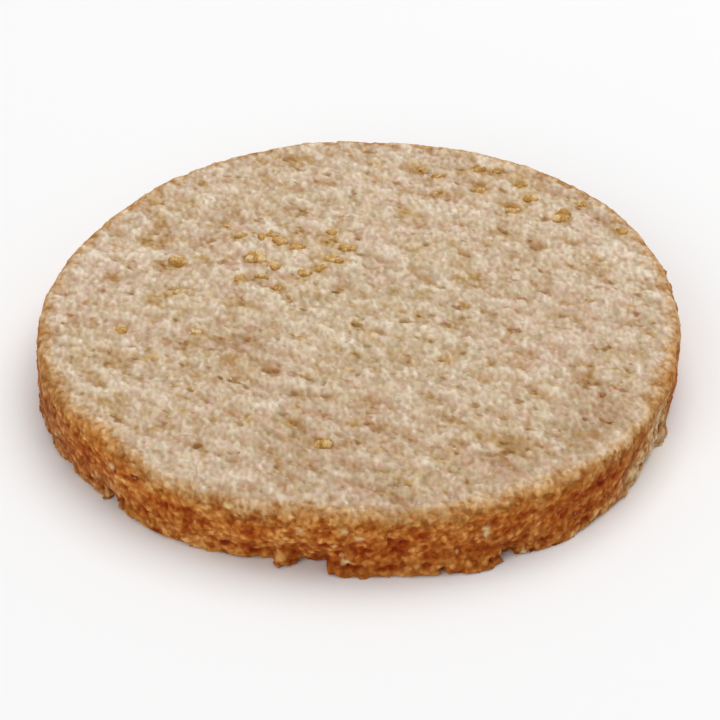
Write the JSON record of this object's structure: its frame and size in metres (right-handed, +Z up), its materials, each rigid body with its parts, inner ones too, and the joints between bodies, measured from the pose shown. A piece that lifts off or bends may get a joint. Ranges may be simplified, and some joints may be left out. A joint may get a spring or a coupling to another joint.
{
  "type": "shortbread biscuit",
  "caption": "Round flat shortbread biscuit with a pale open-crumbed top, browned crumbly side and flat base.",
  "frame": {"origin": "bottom centre of the bounding box, on the plane of the flat base", "axes": "+Z up through the thickness; -Y is the front that the picture looks at, and X runs across it"},
  "size_m": [0.0664, 0.067, 0.0074],
  "materials": {
    "baked_crumb": "matt baked crumb, pale on top and golden brown round the side"
  },
  "bodies": {
    "root": {"biscuit": "baked_crumb"}
  },
  "joints": []
}
